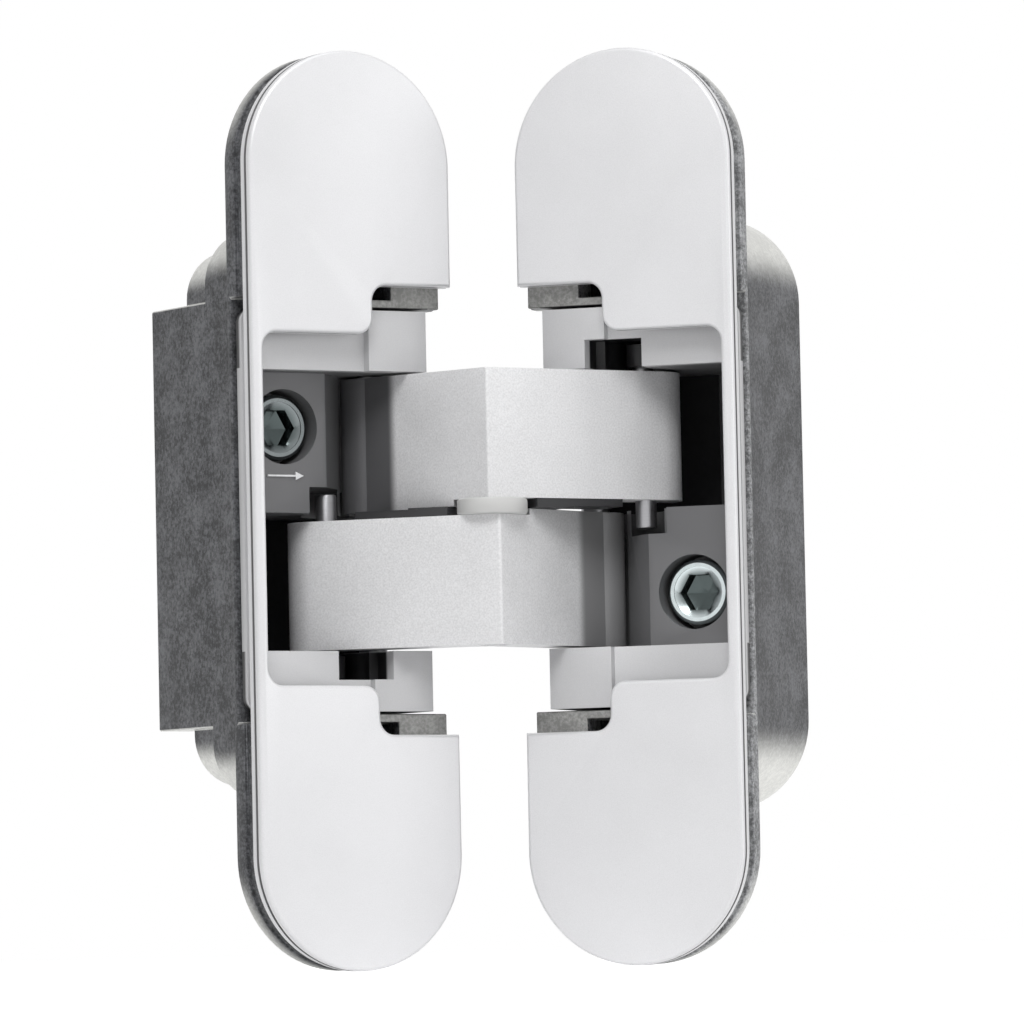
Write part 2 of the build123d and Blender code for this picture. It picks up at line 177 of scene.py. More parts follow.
class HingeMetalSettings(PropertyGroup):
    """Finish and edges of the castings, carriers, arms, screws and pins. Depths count from the seat."""

    casting_dark: colour("Casting dark", (0.010, 0.0105, 0.0125), "Dark grains of the raw casting")
    casting_light: colour("Casting light", (0.140, 0.143, 0.153), "Light grains of the raw casting")
    casting_cloud: length("Casting cloud", 6.0 * MM, "Size of the casting's broad clouds")
    casting_mottle: length("Casting mottle", 1.6 * MM, "Size of the casting's spots")
    casting_grain: length("Casting grain", 0.40 * MM, "Size of the casting's grains")
    casting_edge: length("Casting edge", 0.2 * MM, "Radius of the castings' edges")
    # Painted reflection: a pale tint on the cases' round ends, where a surface looks up or down, stands in for
    # reflected light
    casting_painted_reflection: colour("Casting pale", (0.80, 0.80, 0.77), "Pale skin on the cases' round ends")
    painted_reflection_start: share("Pale start", 0.08, "How far a surface looks up or down where the pale skin starts")
    painted_reflection_end: share("Pale end", 0.55, "How far a surface looks up or down where the pale skin is full")
    painted_reflection_front: length("Pale front", -3.0 * MM, "Depth where the pale skin starts")
    painted_reflection_full: length("Pale full", 1.0 * MM, "Depth where the pale skin is full")
    # Painted light: the door flange gets a much lighter tint than the frame flange, standing in for the light that
    # falls on it
    frame_flange_tint: colour("Frame flange", (0.150, 0.153, 0.163), "Light grains of the frame's flange")
    door_flange_painted_light: colour("Door flange", (0.40, 0.405, 0.415), "Light grains of the door's flange")
    # Painted highlight: a lighter tint on the flanges' front stands in for the light line along their edge
    flange_front_highlight: colour("Casting face", (0.36, 0.36, 0.35), "Ground front of the flanges")
    face_back: length("Face back", -3.9 * MM, "Depth where the ground front ends")
    face_front: length("Face front", -4.2 * MM, "Depth where the ground front is full")
    casting_inside: colour("Casting inside", (0.006, 0.006, 0.007), "Unlit skin inside the cases")
    cavity_side: length("Cavity side", 11.8 * MM, "Half width of the room inside the cases")
    cavity_half: length("Cavity half length", 24.8 * MM, "Half length of the room inside the cases")
    cavity_floor: length("Cavity floor", 17.5 * MM, "Depth of the room inside the cases")

    carrier_tint: colour("Carrier", (0.60, 0.60, 0.61), "Silver lacquer of the carriers")
    carrier_roughness: share("Carrier roughness", 0.42, "Roughness of the carriers' lacquer")
    carrier_edge: length("Carrier edge", 0.25 * MM, "Radius of the carriers' edges")
    recess_tint: colour("Recess", (0.16, 0.16, 0.165), "Shaded floor of the carriers' recesses")
    recess_top: length("Recess top", -2.9 * MM, "Depth where the recesses' shade starts")
    recess_floor: length("Recess floor", -0.2 * MM, "Depth where the recesses' shade is full")
    mouth_depth: length("Mouth depth", -2.3 * MM, "Depth where the carriers' openings are unlit")
    mouth_height: length("Mouth height", 17.1 * MM, "Height beyond which the carriers' openings are unlit")

    arm_tint: colour("Arms", (0.82, 0.82, 0.83), "Grained silver of the arms")
    arm_roughness: share("Arm roughness", 0.50, "Roughness of the arms' lacquer")
    arm_grain: length("Arm grain", 0.22 * MM, "Size of the grains in the arms' lacquer")
    arm_spread: share("Arm spread", 0.13, "How far the grains are lighter and darker than the lacquer")
    arm_edge: length("Arm edge", 0.35 * MM, "Radius of the arms' edges")
    upper_knuckle_tint: colour("Upper knuckle", (0.12, 0.12, 0.125), "Shade on the upper arm's knuckle")
    lower_knuckle_tint: colour("Lower knuckle", (0.30, 0.30, 0.305), "Shade on the lower arm's knuckle")
    knuckle_start: length("Knuckle start", -2.2 * MM, "Depth where the knuckles' shade starts")
    knuckle_end: length("Knuckle end", -0.6 * MM, "Depth where the knuckles' shade is full")

    frame_screw_tint: colour("Frame screw", (0.20, 0.22, 0.225), "Zinc of the frame half's screw, in shade")
    door_screw_tint: colour("Door screw", (0.60, 0.66, 0.67), "Bright zinc of the door half's screw")
    socket_tint: colour("Socket", (0.07, 0.085, 0.085), "Shaded steel in the screws' sockets")
    steel_tint: colour("Pins", (0.30, 0.30, 0.31), "Ground steel of the pins")
    nylon_tint: colour("Nylon", (0.70, 0.70, 0.69), "Pale nylon of the washer")
    # Painted shade: the sleeves, bushes and pads get a near-black tint that stands in for the shade in the slots
    # and between the arms
    sleeve_painted_shade: colour("Sleeves", (0.022, 0.022, 0.024), "Dark nylon of the sleeves, bushes and pads")
    pin_edge: length("Pin edge", 0.3 * MM, "Radius of the edges of the pins and the washer")


class HingeScrewSettings(PropertyGroup):
    """Sizes of the adjusting screws and of the mark below the frame's screw."""

    head_radius: length("Head radius", 4.0 * MM, "Radius of the head")
    head_length: length("Head length", 4.0 * MM, "Length of the head")
    chamfer: length("Chamfer", 0.4 * MM, "Chamfer of the head's front")
    socket_radius: length("Socket radius", 2.5 * MM, "Corner radius of the hexagon socket")
    socket_lip: length("Socket lip", 0.22 * MM, "Countersink round the socket")
    rim_width: length("Rim width", 0.45 * MM, "Width of the flat ring round the dished front")
    dish: length("Dish", 0.35 * MM, "Depth of the dished front")
    socket_depth: length("Socket depth", 2.2 * MM, "Depth of the socket's flats")
    socket_point: length("Socket point", 0.9 * MM, "Depth of the drilled point below the flats")
    shank_radius: length("Shank radius", 3.0 * MM, "Radius of the shank")
    thread_pitch: length("Thread pitch", 1.25 * MM, "Spacing of the thread's crests")
    thread_depth: length("Thread depth", 0.55 * MM, "Depth of the thread")
    thread_turns: count("Thread turns", 4, "Crests of the thread")
    groove_depth: length("Groove depth", 0.4 * MM, "Depth of the clip's groove")
    groove_start: length("Groove start", 13.7 * MM, "Depth of the groove behind the seat")
    groove_length: length("Groove length", 1.2 * MM, "Length of the groove")
    mark_length: length("Mark length", 5.0 * MM, "Length of the raised arrow")
    mark_head: length("Mark head", 1.1 * MM, "Length of the arrow's head")
    mark_half: length("Mark half width", 0.5 * MM, "Half width of the arrow's head")
    mark_line: length("Mark line", 0.11 * MM, "Half width of the arrow's line")
    mark_height: length("Mark height", 0.22 * MM, "Height of the arrow above the floor")
    mark_drop: length("Mark drop", 6.0 * MM, "Distance of the arrow below the screw's axis")
    head_sink: length("Head sink", 1.4 * MM, "Depth of the head below the carrier's floor")


class HingeShadePadSettings(PropertyGroup):
    """Sizes of the dark pads, which close the gap between the arms and stand in for the shade there."""

    start: length("Start", 4.8 * MM, "Distance of the pad from the centre pin")
    end: length("End", 17.0 * MM, "Distance of the pad's far end from the centre pin")
    width: length("Width", 5.4 * MM, "Width of the pad")
    low: length("Low", 0.05 * MM, "Height of the pad's free face above the middle")
    high: length("High", 1.02 * MM, "Height of the arm's face above the middle")
    heel_end: length("Heel end", 10.0 * MM, "Distance of the heel's far end from the centre pin")
    heel_height: length("Heel height", 0.18 * MM, "Height of the heel below the pad's free face")
    edge: length("Edge", 0.05 * MM, "Radius of the pad's edges")


class HingeStageSettings(PropertyGroup):
    """Camera, light and floor."""

    azimuth: angle("Azimuth", -31.0, "Camera turn")
    elevation: angle("Elevation", -3.4, "Camera height")
    roll: angle("Roll", -1.2, "Camera roll")
    distance: length("Distance", 900 * MM, "Camera distance")
    lens: FloatProperty(name="Lens", description="Focal length in millimetres", default=257.0)
    floor_gap: length("Floor gap", 0.2 * MM, "Gap between the hinge and the floor")
    floor_half: length("Floor half width", 3.0, "Half width of the floor")
    floor_tint: colour("Floor", (0.9, 0.9, 0.9), "Paint of the floor")
    floor_glow: share("Floor glow", 0.86, "White added to the floor where the viewer sees it")
    ambient: share("Ambient", 0.16, "Strength of the sky light")


class Value:
    """A shader socket that can be used in Python arithmetic."""

    def __init__(self, graph, socket):
        self.graph = graph
        self.socket = socket

    def _math(self, operation, first, second):
        return self.graph.node("ShaderNodeMath", {"operation": operation}, {0: first, 1: second})

    def __add__(self, other):
        return self._math("ADD", self, other)

    __radd__ = __add__

    def __sub__(self, other):
        return self._math("SUBTRACT", self, other)

    def __rsub__(self, other):
        return self._math("SUBTRACT", other, self)

    def __mul__(self, other):
        return self._math("MULTIPLY", self, other)

    __rmul__ = __mul__

    def larger(self, other):
        """The larger of two values."""
        return self._math("MAXIMUM", self, other)


class Graph:
    """The node tree of one material or sky, filled by Python calls."""

    def __init__(self, owner):
        owner.use_nodes = True
        self.owner = owner
        self.tree = owner.node_tree
        self.tree.nodes.clear()

    def node(self, kind, settings=None, inputs=None, output=0):
        """Adds a node, sets it up, feeds its sockets and returns one output."""
        made = self.tree.nodes.new(kind)
        for key, value in (settings or {}).items():
            if key == "stops":
                for stop, place in zip(made.color_ramp.elements, value):
                    stop.position = place
            else:
                setattr(made, key, value)
        for key, value in (inputs or {}).items():
            self.feed(made.inputs[key], value)
        return Value(self, made.outputs[output]) if made.outputs else None

    def feed(self, socket, value):
        """Links a Value to a socket, or sets the socket to a plain value."""
        if isinstance(value, Value):
            self.tree.links.new(value.socket, socket)
        elif socket.type == "RGBA" and len(value) == 3:
            socket.default_value = (*value, 1.0)
        else:
            socket.default_value = value

    def place(self):
        """Object coordinates."""
        return self.node("ShaderNodeTexCoord", output="Object")

    def rise(self, value, start, end):
        """Rises smoothly from 0 to 1 while a value goes from start to end."""
        return self.node(
            "ShaderNodeMapRange",
            {"interpolation_type": "SMOOTHSTEP"},
            {"Value": value, "From Min": start, "From Max": end},
        )

    def within(self, value, limit):
        """1 where a value lies nearer to 0 than a limit."""
        return self.rise(value * value, (limit + EASE) ** 2, limit**2)

    def own(self, stand, axis):
        """A coordinate as the frame half has it, for a piece of the half that stands as the matrix says."""
        back = stand.inverted()
        turned = self.node(
            "ShaderNodeMapping",
            {},
            {"Vector": self.place(), "Location": back.to_translation(), "Rotation": back.to_euler()},
        )
        return self.node("ShaderNodeSeparateXYZ", {}, {0: turned}, output=axis)

    def noise(self, size, detail=3.0, roughness=0.5, stretch=(1.0, 1.0, 1.0)):
        """Noise from 0 to 1 whose features are about the given size in metres."""
        stretched = self.node("ShaderNodeMapping", {}, {"Vector": self.place(), "Scale": stretch})
        return self.node(
            "ShaderNodeTexNoise",
            {"noise_dimensions": "3D"},
            {"Vector": stretched, "Scale": 1.0 / size, "Detail": detail, "Roughness": roughness},
            output="Fac",
        )

    def ramp(self, value, black, white):
        """Rises evenly from 0 to 1 while a value goes from black to white."""
        return self.node("ShaderNodeValToRGB", {"stops": (black, white)}, {0: value})

    def mix(self, factor, first, second):
        """Mixes two colours."""
        return self.node("ShaderNodeMix", {"data_type": "RGBA"}, {0: factor, 6: first, 7: second}, output=2)

    def tinted(self, level, tint, dark, light=1.0):
        """A tint, made darker where a level is 0 and lighter where it is 1."""
        return self.mix(level, scaled(tint, dark), scaled(tint, light))

    def finish(self, bump=None, bump_height=0.0, **sockets):
        """Ends the tree in a Principled BSDF with the given sockets."""
        inputs = {key.replace("_", " ").title(): value for key, value in sockets.items()}
        if bump is not None:
            inputs["Normal"] = self.node("ShaderNodeBump", {}, {"Height": bump, "Distance": bump_height})
        surface = self.node("ShaderNodeBsdfPrincipled", {}, inputs)
        self.node("ShaderNodeOutputMaterial", {}, {"Surface": surface})
        return self.owner

    def to_viewer(self, shaded, seen):
        """Shows the second shader to camera, glossy and transmitted rays and the first to all the rest."""
        camera, glossy, through = (
            self.node("ShaderNodeLightPath", output=f"Is {ray} Ray")
            for ray in ("Camera", "Glossy", "Transmission")
        )
        viewed = camera.larger(glossy).larger(through)
        return self.node("ShaderNodeMixShader", {}, {0: viewed, 1: shaded, 2: seen})


def new_graph(name):
    """The empty node tree of a new material."""
    return Graph(bpy.data.materials.new(name))


def scaled(tint, factor):
    """A colour made lighter or darker."""
    return tuple(min(1.0, c * factor) for c in tint)


def satin_lacquer(graph, tint, roughness, grain=0.12 * MM, cloud_size=9 * MM, spread=0.05, shades=()):
    """Silver lacquer with a fine grain, which gives way to another tint where each shade's mask says."""
    speckle = graph.noise(grain, detail=2.0)
    cloud = graph.noise(cloud_size, detail=3.0)
    level = graph.ramp(speckle * 0.7 + cloud * 0.3, black=0.30, white=0.70)
    base = graph.tinted(level, tint, dark=1 - spread, light=1 + spread)
    for mask, shade in shades:
        base = graph.mix(mask, base, shade)
    return graph.finish(
        base_color=base,
        metallic=0.2,
        roughness=roughness - 0.06 + 0.12 * cloud,
        bump=speckle,
        bump_height=0.012 * MM,
    )


def raw_casting(graph, settings, stand, flange_tint_and_light):
    """Raw zinc: dark mottled grain, a flange with a painted highlight, painted reflection on the ends, painted
    shade inside.
    """
    cloud = graph.noise(settings.casting_cloud, detail=4.0, roughness=0.6)
    mottle = graph.noise(settings.casting_mottle, detail=5.0, roughness=0.7)
    grain = graph.noise(settings.casting_grain, detail=3.0, roughness=0.65)
    level = graph.ramp(cloud * 0.28 + mottle * 0.34 + grain * 0.38, black=0.43, white=0.60)
    across, depth, height = (graph.own(stand, axis) for axis in "XYZ")

    skin = graph.mix(level, settings.casting_dark, settings.casting_light)
    flange = graph.tinted(level, flange_tint_and_light, dark=0.3)
    skin = graph.mix(graph.rise(depth, EASE, 0.0), skin, flange)

    # Painted reflection: pale where the round ends look up or down, away from the flange's front
    upright = graph.node("ShaderNodeAttribute", {"attribute_name": UPRIGHT}, output="Fac")
    ends = graph.rise(upright, settings.painted_reflection_start, settings.painted_reflection_end)
    behind = graph.rise(depth, settings.painted_reflection_front, settings.painted_reflection_full)
    skin = graph.mix(ends * behind, skin, graph.tinted(level, settings.casting_painted_reflection, dark=0.8))

    # Painted highlight on the flanges' front
    front = graph.rise(depth, settings.face_back, settings.face_front)
    skin = graph.mix(front, skin, graph.tinted(level, settings.flange_front_highlight, dark=0.6))

    inside = graph.within(across, settings.cavity_side) * graph.within(height, settings.cavity_half)
    inside = inside * graph.rise(depth, settings.cavity_floor + EASE, settings.cavity_floor)
    return graph.finish(
        base_color=graph.mix(inside, skin, settings.casting_inside),
        metallic=0.55,
        roughness=0.40 + 0.22 * mottle,
        bump=mottle * 0.4 + grain * 0.6,
        bump_height=0.06 * MM,
    )


def bright_zinc(graph, tint, socket, socket_tint, cloud_size=1.2 * MM):
    """Bright zinc plate with a soft cloud, which gives way to another tint where the socket's mask says."""
    cloud = graph.noise(cloud_size, detail=4.0)
    plate = graph.tinted(cloud, tint, dark=0.9, light=1.08)
    return graph.finish(
        base_color=graph.mix(socket, plate, socket_tint),
        metallic=1.0,
        roughness=0.14 + 0.16 * cloud,
        bump=cloud,
        bump_height=0.01 * MM,
    )


def ground_steel(graph, tint, mark_size=0.5 * MM):
    """Ground steel with marks that run round the pin."""
    marks = graph.noise(mark_size, detail=2.0, stretch=(0.2, 0.2, 4.0))
    return graph.finish(
        base_color=graph.tinted(marks, tint, dark=0.85, light=1.1),
        metallic=0.95,
        roughness=0.26 + 0.16 * marks,
        bump=marks,
        bump_height=0.01 * MM,
    )


def moulded_nylon(graph, tint, bloom_size=1.5 * MM):
    """Moulded nylon with a soft bloom."""
    bloom = graph.noise(bloom_size, detail=3.0)
    return graph.finish(
        base_color=graph.tinted(bloom, tint, dark=0.95, light=1.04),
        roughness=0.42 + 0.12 * bloom,
        bump=bloom,
        bump_height=0.02 * MM,
    )


def new_piece(name, bm, material, body):
    """Makes a smooth-shaded object from a bmesh, gives it its finish and seats it on its body."""
    mesh = bpy.data.meshes.new(name)
    bm.to_mesh(mesh)
    bm.free()
    mesh.shade_smooth()
    mesh.set_sharp_from_angle(angle=SHARP_TURN)
    mesh.materials.append(material)
    piece = bpy.data.objects.new(name, mesh)
    bpy.context.scene.collection.objects.link(piece)
    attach(piece, body)
    return piece


def turned(bm, stand):
    """A bmesh made for the frame half, moved to the half that stands as the matrix says."""
    bmesh.ops.transform(bm, matrix=stand, verts=bm.verts)
    return bm


def of_kind(made, kind):
    """The points or faces among what an operator made."""
    return [part for part in made["geom"] if isinstance(part, kind)]


def bevel(bm, geom, width, segments, affect="EDGES", clamp_overlap=True):
    """Rounds edges, or the corners of a flat outline."""
    bmesh.ops.bevel(
        bm,
        geom=geom,
        offset=width,
        offset_type="OFFSET",
        affect=affect,
        segments=segments,
        profile=0.5,
        material=-1,
        clamp_overlap=clamp_overlap,
    )


def soften(bm, width, segments=2):
    """Rounds every edge that turns enough."""
    sharp = [e for e in bm.edges if e.is_manifold and e.calc_face_angle(0.0) > ROUNDED_TURN]
    bevel(bm, sharp, width, segments)


def merged_copy(node):
    """A bmesh of a node's solid with its triangles joined into whole faces."""
    bm = bmesh.new()
    bm.from_mesh(frame["nodes"][node].data)
    bmesh.ops.remove_doubles(bm, verts=bm.verts, dist=WELD)
    bmesh.ops.dissolve_limit(
        bm,
        angle_limit=FLAT_TURN,
        verts=bm.verts,
        edges=bm.edges,
        delimit=set(),
        use_dissolve_boundaries=False,
    )
    return bm


def store_upright(bm):
    """Stores at each face's corners how far the surface looks up or down, smooth over round faces."""
    bm.normal_update()
    layer = bm.loops.layers.float.new(UPRIGHT)
    for face in bm.faces:
        for corner in face.loops:
            alike = [f.normal for f in corner.vert.link_faces if f.normal.dot(face.normal) > ALIKE]
            corner[layer] = abs(sum(normal.z for normal in alike)) / len(alike)


def dress(node, material, width, segments=2):
    """Replaces a node by a copy of its solid with rounded edges."""
    bm = merged_copy(node)
    soften(bm, width, segments)
    store_upright(bm)
    piece = new_piece(f"{node}_dressed", bm, material, node_body[node])
    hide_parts(node)
    return piece


def cut_between(face, front, settings):
    """Whether a face lies across the plate between its front and its back."""
    depth = face.calc_center_median().y - front
    return abs(face.normal.y) > ACROSS and MERGE < depth < settings.thickness - MERGE


def round_corners(bm, places, radius, segments):
    """Rounds the corners of a flat outline that lie at the given places, each across and up."""
    found = [v for v in bm.verts if any((v.co.xz - Vector(place)).length < TOUCH for place in places)]
    bevel(bm, found, radius, segments, affect="VERTICES", clamp_overlap=False)


def cover_mesh(settings):
    """The C-shaped plate of the frame half, with a rounded front edge and a groove round its side."""
    half_width, half_height = cover_high.x, cover_high.z
    front = cover_low.y
    notch_x = half_width - settings.notch_width
    strip_x = -half_width + settings.strip
    window = [
        (half_width, settings.notch_half),
        (notch_x, settings.notch_half),
        (notch_x, settings.window_half),
        (strip_x, settings.window_half),
    ]
    window += [(x, -z) for x, z in reversed(window)]
    ends = [(half_width, -half_height), (-half_width, -half_height)]
    ends += [(x, -z) for x, z in reversed(ends)]
    bm = bmesh.new()
    bm.faces.new([bm.verts.new((x, front + settings.thickness, z)) for x, z in window + ends])
    round_corners(bm, window[1:-1], settings.corner, settings.corner_steps)
    round_corners(bm, ends, half_width, settings.end_steps)
    bmesh.ops.remove_doubles(bm, verts=bm.verts, dist=MERGE)

    # Three layers, of which the middle one is as thick as the groove is wide
    beside_groove = (settings.thickness - settings.groove_width) / 2
    top = bm.faces[:]
    for layer in (beside_groove, settings.groove_width, beside_groove):
        made = bmesh.ops.extrude_face_region(bm, geom=top)
        top = of_kind(made, BMFace)
        bmesh.ops.translate(bm, verts=of_kind(made, BMVert), vec=(0.0, -layer, 0.0))
    between = [f for f in bm.faces if cut_between(f, front, settings)]
    bmesh.ops.delete(bm, geom=between, context="FACES_ONLY")
    bmesh.ops.recalc_face_normals(bm, faces=bm.faces)
    middle = front + settings.thickness / 2
    belt = [f for f in bm.faces if abs(f.calc_center_median().y - middle) < settings.groove_width / 4]
    bmesh.ops.inset_region(
        bm,
        faces=belt,
        thickness=MERGE,
        depth=-settings.groove_depth,
        use_even_offset=True,
        use_boundary=True,
    )
    rim = [e for e in bm.edges if all(v.co.y < front + TOUCH for v in e.verts)]
    bevel(bm, rim, settings.edge, settings.edge_steps)
    return bm


class HINGE_OT_covers(Operator):
    """Makes the two cover plates"""

    bl_idname = "hinge.covers"
    bl_label = "Cover Plates"

    def execute(self, context):
        settings = context.scene.hinge_covers
        middle = cover_low.y + settings.thickness / 2
        for half, stand in HALVES.items():
            graph = new_graph(f"{half}_satin_cover")
            groove = graph.within(graph.own(stand, "Y") - middle, settings.groove_width / 2)
            shades = [(groove, settings.groove_tint)]
            finish = satin_lacquer(graph, settings.tint, settings.roughness, shades=shades)
            node = f"{half}_cover"
            piece = new_piece(f"{node}_plate", turned(cover_mesh(settings), stand), finish, node_body[node])
            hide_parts(node)
        return {"FINISHED"}


class HINGE_OT_castings(Operator):
    """Dresses the two cases as raw castings"""

    bl_idname = "hinge.castings"
    bl_label = "Cases"

    def execute(self, context):
        settings = context.scene.hinge_metal
        # The door flange's tint holds painted light; the frame flange's is the casting's own
        flanges = {"frame": settings.frame_flange_tint, "door": settings.door_flange_painted_light}
        for half, stand in HALVES.items():
            finish = raw_casting(new_graph(f"{half}_raw_casting"), settings, stand, flanges[half])
            dress(f"{half}_case", finish, settings.casting_edge)
        return {"FINISHED"}


class HINGE_OT_carriers(Operator):
    """Dresses the two sliding carriers"""

    bl_idname = "hinge.carriers"
    bl_label = "Carriers"

    def execute(self, context):
        settings = context.scene.hinge_metal
        for half, stand in HALVES.items():
            graph = new_graph(f"{half}_satin_carrier")
            depth = graph.own(stand, "Y")
            recess = graph.rise(depth, settings.recess_top, settings.recess_floor)
            beyond = 1.0 - graph.within(graph.own(stand, "Z"), settings.mouth_height)
            mouth = beyond * graph.rise(depth, settings.recess_top, settings.mouth_depth)
            shades = [(recess, settings.recess_tint), (mouth, settings.casting_inside)]
            finish = satin_lacquer(graph, settings.carrier_tint, settings.carrier_roughness, shades=shades)
            dress(f"{half}_carrier", finish, settings.carrier_edge)
        return {"FINISHED"}


class HINGE_OT_arms(Operator):
    """Dresses the two bent arms"""

    bl_idname = "hinge.arms"
    bl_label = "Arms"

    def execute(self, context):
        settings = context.scene.hinge_metal
        knuckles = {"upper_arm": settings.upper_knuckle_tint, "lower_arm": settings.lower_knuckle_tint}
        for (node, knuckle), stand in zip(knuckles.items(), HALVES.values()):
            graph = new_graph(f"{node}_satin")
            shaded = graph.rise(graph.own(stand, "Y"), settings.knuckle_start, settings.knuckle_end)
            finish = satin_lacquer(
                graph,
                settings.arm_tint,
                settings.arm_roughness,
                grain=settings.arm_grain,
                spread=settings.arm_spread,
                shades=[(shaded, knuckle)],
            )
            dress(node, finish, settings.arm_edge, segments=3)
        return {"FINISHED"}


def shade_pad_mesh(settings):
    """The dark pad, painted shade under the upper arm between the washer and the sliding pin, with a thicker heel.
    """
    low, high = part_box("upper_slide_pin")
    reach = (low + high) / 2 - arm_centre
    reach.z = 0.0
    along = reach.normalized()
    middle = arm_centre + along * (settings.start + settings.end) / 2
    middle.z = (settings.low + settings.high) / 2
    turn = Matrix.Rotation(Vector((1.0, 0.0)).angle_signed(reach.xy), 4, "Z").inverted()
    size = Matrix.Diagonal((settings.end - settings.start, settings.width, settings.high - settings.low, 1.0))
    bm = bmesh.new()
    bmesh.ops.create_cube(bm, size=1.0, matrix=Matrix.Translation(middle) @ turn @ size)
    heel = arm_centre + along * settings.heel_end
    bmesh.ops.bisect_plane(bm, geom=bm.verts[:] + bm.edges[:] + bm.faces[:], plane_co=heel, plane_no=along)
    bm.normal_update()
    under = [f for f in bm.faces if f.normal.z < -ALIKE and (f.calc_center_median() - heel).dot(along) < 0]
    made = bmesh.ops.extrude_face_region(bm, geom=under)
    bmesh.ops.delete(bm, geom=under, context="FACES")
    bmesh.ops.translate(bm, verts=of_kind(made, BMVert), vec=(0.0, 0.0, -settings.heel_height))
    soften(bm, settings.edge)
    return bm


class HINGE_OT_shade_pads(Operator):
    """Makes the dark pads between the arms, which stand in for the shade there"""

    bl_idname = "hinge.pads"
    bl_label = "Wear Pads"

    def execute(self, context):
        # The near-black nylon is painted shade, for the pads and for the sleeves and bushes
        finish = moulded_nylon(new_graph("nylon_painted_shade"), context.scene.hinge_metal.sleeve_painted_shade)
        # Each dark pad closes the slit between the arms and stands in for the shade there
        for node, stand in zip(("upper_arm", "lower_arm"), HALVES.values()):
            bm = turned(shade_pad_mesh(context.scene.hinge_pads), stand)
            new_piece(f"{node}_pad", bm, finish, node_body[node])
        return {"FINISHED"}


def screw_mesh(settings):
    """The frame half's adjusting screw: hexagon socket, head, groove for the clip and a thread of rings."""
    low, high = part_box("frame_adjust_screw")
    middle = Vector((screw_spot.x, low.y, screw_spot.z))
    head_back = low.y + settings.head_length
    groove_end = settings.groove_start + settings.groove_length
    groove_radius = settings.shank_radius - settings.groove_depth
    root_radius = settings.shank_radius - settings.thread_depth
    profile = [
        (settings.socket_radius + settings.socket_lip, low.y + settings.dish),
        (settings.head_radius - settings.chamfer - settings.rim_width, low.y + settings.dish / 2),
        (settings.head_radius - settings.chamfer - settings.rim_width, low.y),
        (settings.head_radius - settings.chamfer, low.y),
        (settings.head_radius, low.y + settings.chamfer),
        (settings.head_radius, head_back),
        (settings.shank_radius, head_back),
        (settings.shank_radius, settings.groove_start),
        (groove_radius, settings.groove_start),
        (groove_radius, groove_end),
        (settings.shank_radius, groove_end),
    ]
    thread_start = high.y - settings.thread_turns * settings.thread_pitch
    for turn in range(settings.thread_turns):
        crest = thread_start + turn * settings.thread_pitch
        profile += [(settings.shank_radius, crest), (root_radius, crest + settings.thread_pitch / 2)]
    profile += [(root_radius, high.y), (0.0, high.y)]

    bm = bmesh.new()
    points = [bm.verts.new((middle.x + radius, depth, middle.z)) for radius, depth in profile]
    line = [bm.edges.new(pair) for pair in zip(points, points[1:])]
    bmesh.ops.spin(
        bm,
        geom=points + line,
        cent=middle,
        axis=(0.0, 1.0, 0.0),
        angle=2 * pi,
        steps=SCREW_STEPS,
        use_merge=True,
    )
    bmesh.ops.remove_doubles(bm, verts=bm.verts, dist=MERGE)
    lip = [e for e in bm.edges if e.is_boundary]

    # The socket starts as a hexagon with as many points as the lip has
    mouth_place = Matrix.Translation(middle + Vector((0.0, settings.dish + settings.socket_lip, 0.0)))
    corner_turn = Matrix.Rotation(pi / 2, 4, "X") @ Matrix.Rotation(pi / SOCKET_SIDES, 4, "Z")
    bmesh.ops.create_circle(
        bm, segments=SOCKET_SIDES, radius=settings.socket_radius, matrix=mouth_place @ corner_turn
    )
    sides = [e for e in bm.edges if e.is_wire]
    bmesh.ops.subdivide_edges(bm, edges=sides, cuts=SCREW_STEPS // SOCKET_SIDES - 1)
    mouth = [e for e in bm.edges if e.is_wire]
    bmesh.ops.bridge_loops(bm, edges=lip + mouth)
    for sink in (settings.socket_depth, settings.socket_point):
        made = bmesh.ops.extrude_edge_only(bm, edges=[e for e in bm.edges if e.is_boundary])
        floor = of_kind(made, BMVert)
        bmesh.ops.translate(bm, verts=floor, vec=(0.0, sink, 0.0))
    bmesh.ops.pointmerge(bm, verts=floor, merge_co=Vector((middle.x, floor[0].co.y, middle.z)))
    bmesh.ops.recalc_face_normals(bm, faces=bm.faces)
    return bm


def mark_mesh(settings):
    """A raised arrow below the frame half's screw, which shows the way the carrier is set."""
    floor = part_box("frame_adjust_screw")[0].y - settings.head_sink
    height = screw_spot.z - settings.mark_drop
    tip = screw_spot.x + settings.mark_length / 2
    neck = tip - settings.mark_head
    tail = tip - settings.mark_length
    line, half = settings.mark_line, settings.mark_half
    outline = [
        (tail, -line), (neck, -line), (neck, -half), (tip, 0.0), (neck, half), (neck, line), (tail, line),
    ]
    bm = bmesh.new()
    face = bm.faces.new([bm.verts.new((x, floor, height + z)) for x, z in outline])
    made = bmesh.ops.extrude_face_region(bm, geom=[face])
    bmesh.ops.translate(bm, verts=of_kind(made, BMVert), vec=(0.0, -settings.mark_height, 0.0))
    bmesh.ops.recalc_face_normals(bm, faces=bm.faces)
    return bm


